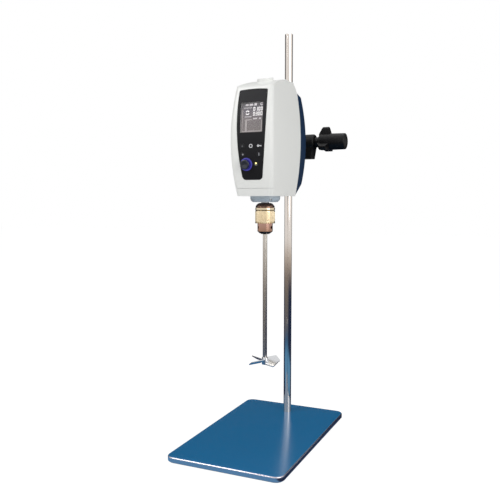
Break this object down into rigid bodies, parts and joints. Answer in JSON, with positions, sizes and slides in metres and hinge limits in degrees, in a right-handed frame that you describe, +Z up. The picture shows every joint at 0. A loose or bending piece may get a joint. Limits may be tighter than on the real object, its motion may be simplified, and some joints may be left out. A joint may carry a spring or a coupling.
{
  "type": "overhead stirrer",
  "caption": "Laboratory overhead stirrer: barrel-shaped drive head clamped to a round column on a flat plate, with keyed chuck, stirring shaft and pitched-blade impeller.",
  "frame": {"origin": "middle of the stand's underside, on the bench", "axes": "+Z up along the column, +Y from the front of the plate to the column, +X to the right for someone facing the control panel"},
  "size_m": [0.2338, 0.375, 0.793],
  "materials": {
    "plate_paint": "satin powder coat",
    "mat_rubber": "matt",
    "column_chrome": "polished chrome plate",
    "steel": "turned",
    "clamp_black": "black enamel on a casting",
    "brass": "turned",
    "knob_plastic": "fine moulded grain",
    "stainless": "ground and polished",
    "white_plastic": "fine spark texture",
    "blue_plastic": "satin",
    "panel_black": "hard-coated",
    "window_glass": "clear",
    "display": "lit",
    "ring_violet": "tinted clear",
    "dial_dark": "satin",
    "board_green": "solder mask",
    "lamp_amber": "clear",
    "cast_aluminium": "as cast and machined",
    "belt_rubber": "matt",
    "motor_steel": "zinc plated",
    "collar_grey": "satin grey-blue",
    "black_plastic": "moulded",
    "chuck_steel": "polished and knurled",
    "chuck_dark": "hardened"
  },
  "bodies": {
    "stand": {"base_plate": "plate_paint", "base_mat": "mat_rubber", "column_screw": "steel"},
    "column": {"column": "column_chrome"},
    "boss": {"boss_head": "clamp_black"},
    "rod_clamp_screw": {"rod_clamp_screw": "steel", "rod_clamp_pad": "brass"},
    "rod_clamp_knob": {"rod_clamp_knob": "knob_plastic"},
    "column_clamp_screw": {"column_clamp_screw": "steel", "column_clamp_pad": "brass"},
    "column_clamp_knob": {"column_clamp_knob": "knob_plastic"},
    "rod": {"support_rod": "stainless"},
    "head": {"main_housing": "white_plastic", "front_fascia": "white_plastic", "rear_cover": "blue_plastic", "rear_cover_screws": "steel", "front_panel": "panel_black", "display_window": "window_glass", "display_module": "display", "key_mat": "mat_rubber", "light_ring": "ring_violet", "encoder_body": "board_green", "status_lamp": "lamp_amber", "control_board": "board_green", "drive_frame": "cast_aluminium", "bearing_outer_rings": "steel", "drive_belt": "belt_rubber", "motor_body": "motor_steel", "inner_screws": "steel", "shaft_seal": "belt_rubber", "spindle_collar": "collar_grey", "collar_screws": "steel", "rod_socket": "cast_aluminium", "rod_set_screw": "steel", "power_board": "board_green", "power_inlet": "black_plastic", "switch_frame": "black_plastic"},
    "top_cap": {"top_cap": "white_plastic"},
    "spindle": {"spindle": "steel", "spindle_pulley": "cast_aluminium", "bearing_inner_rings": "steel", "chuck_body": "chuck_steel"},
    "bearing_balls": {"bearing_balls": "steel"},
    "motor_rotor": {"motor_rotor": "motor_steel", "motor_pulley": "cast_aluminium"},
    "chuck_sleeve": {"chuck_sleeve": "chuck_steel", "chuck_nut": "steel"},
    "stirring_shaft": {"stirring_shaft": "stainless", "impeller": "stainless"},
    "encoder_shaft": {"encoder_shaft": "steel"},
    "setting_knob": {"setting_knob": "dial_dark"},
    "switch_rocker": {"switch_rocker": "black_plastic"},
    "key_1": {"panel_key_1": "panel_black"},
    "key_2": {"panel_key_2": "panel_black"},
    "key_3": {"panel_key_3": "panel_black"},
    "key_4": {"panel_key_4": "panel_black"},
    "key_5": {"panel_key_5": "panel_black"},
    "jaw_1": {"chuck_jaw_1": "chuck_dark"},
    "jaw_2": {"chuck_jaw_2": "chuck_dark"},
    "jaw_3": {"chuck_jaw_3": "chuck_dark"}
  },
  "joints": [
    {"name": "head_swivel", "type": "hinge", "parent": "stand", "child": "column", "pos_m": [0, 0.133, 0.011], "axis": [0, 0, 1], "range_deg": [-90, 90]},
    {"name": "head_height", "type": "slide", "parent": "column", "child": "boss", "axis": [0, 0, 1], "range_m": [-0.14, 0.19]},
    {"name": "head_reach", "type": "slide", "parent": "boss", "child": "rod", "axis": [0, 1, 0], "range_m": [-0.04, 0.04]},
    {"name": "head_tilt", "type": "hinge", "parent": "rod", "child": "head", "pos_m": [0.028, 0.06, 0.574], "axis": [0, 1, 0], "range_deg": [-30, 30]},
    {"name": "rod_clamp_travel", "type": "slide", "parent": "boss", "child": "rod_clamp_screw", "axis": [1, 0, 0], "range_m": [0, 0.003]},
    {"name": "rod_clamp_turn", "type": "hinge", "parent": "rod_clamp_screw", "child": "rod_clamp_knob", "pos_m": [0.0585, 0.133, 0.574], "axis": [1, 0, 0], "range_deg": [0, 722]},
    {"name": "column_clamp_travel", "type": "slide", "parent": "boss", "child": "column_clamp_screw", "axis": [-1, 0, 0], "range_m": [0, 0.003]},
    {"name": "column_clamp_turn", "type": "hinge", "parent": "column_clamp_screw", "child": "column_clamp_knob", "pos_m": [-0.027, 0.133, 0.565], "axis": [-1, 0, 0], "range_deg": [0, 722]},
    {"name": "top_cap_lift", "type": "slide", "parent": "head", "child": "top_cap", "axis": [0, 0, 1], "range_m": [0, 0.03]},
    {"name": "spindle_spin", "type": "hinge", "parent": "head", "child": "spindle", "pos_m": [0.028, -0.0553, 0.5], "axis": [0, 0, 1], "continuous": true},
    {"name": "bearing_roll", "type": "hinge", "parent": "head", "child": "bearing_balls", "pos_m": [0.028, -0.0553, 0.5], "axis": [0, 0, 1], "continuous": true},
    {"name": "motor_spin", "type": "hinge", "parent": "head", "child": "motor_rotor", "pos_m": [0.028, 0.001, 0.55], "axis": [0, 0, 1], "continuous": true},
    {"name": "sleeve_turn", "type": "hinge", "parent": "spindle", "child": "chuck_sleeve", "pos_m": [0.028, -0.0553, 0.43], "axis": [0, 0, 1], "range_deg": [0, 1702]},
    {"name": "shaft_insertion", "type": "slide", "parent": "spindle", "child": "stirring_shaft", "axis": [0, 0, 1], "range_m": [0, 0.17]},
    {"name": "dial_push", "type": "slide", "parent": "head", "child": "encoder_shaft", "axis": [0, 0.9914, 0.1311], "range_m": [0, 0.0005], "stiffness_N_per_m": 3000},
    {"name": "dial_turn", "type": "hinge", "parent": "encoder_shaft", "child": "setting_knob", "pos_m": [0.0192, -0.11633, 0.5185], "axis": [0, -0.9914, -0.1311], "continuous": true},
    {"name": "power_switch", "type": "hinge", "parent": "head", "child": "switch_rocker", "pos_m": [0.012, 0.046, 0.512], "axis": [1, 0, 0], "range_deg": [-20, 0]},
    {"name": "jaw_1_slide", "type": "slide", "parent": "spindle", "child": "jaw_1", "axis": [0.0537, -0.1651, 0.9848], "range_m": [0, 0.0059]},
    {"name": "jaw_2_slide", "type": "slide", "parent": "spindle", "child": "jaw_2", "axis": [0.1162, 0.129, 0.9848], "range_m": [0, 0.0059]},
    {"name": "jaw_3_slide", "type": "slide", "parent": "spindle", "child": "jaw_3", "axis": [-0.1699, 0.0361, 0.9848], "range_m": [0, 0.0059]},
    {"name": "key_1_press", "type": "slide", "parent": "head", "child": "key_1", "axis": [0, 0.9995, 0.0324], "range_m": [0, 0.0006], "stiffness_N_per_m": 2500},
    {"name": "key_2_press", "type": "slide", "parent": "head", "child": "key_2", "axis": [0, 0.9995, 0.0324], "range_m": [0, 0.0006], "stiffness_N_per_m": 2500},
    {"name": "key_3_press", "type": "slide", "parent": "head", "child": "key_3", "axis": [0, 0.9995, 0.0324], "range_m": [0, 0.0006], "stiffness_N_per_m": 2500},
    {"name": "key_4_press", "type": "slide", "parent": "head", "child": "key_4", "axis": [0, 0.997, 0.0777], "range_m": [0, 0.0006], "stiffness_N_per_m": 2500},
    {"name": "key_5_press", "type": "slide", "parent": "head", "child": "key_5", "axis": [0, 0.997, 0.0777], "range_m": [0, 0.0006], "stiffness_N_per_m": 2500}
  ],
  "couplings": [
    {"joint": "rod_clamp_turn", "follows": "rod_clamp_travel", "rad_per_m": 4188.8},
    {"joint": "column_clamp_turn", "follows": "column_clamp_travel", "rad_per_m": 4188.8},
    {"joint": "motor_spin", "follows": "spindle_spin", "ratio": 2},
    {"joint": "bearing_roll", "follows": "spindle_spin", "ratio": 0.408},
    {"joint": "sleeve_turn", "follows": "jaw_1_slide", "rad_per_m": 5026.5},
    {"joint": "jaw_2_slide", "follows": "jaw_1_slide", "ratio": 1},
    {"joint": "jaw_3_slide", "follows": "jaw_1_slide", "ratio": 1}
  ]
}
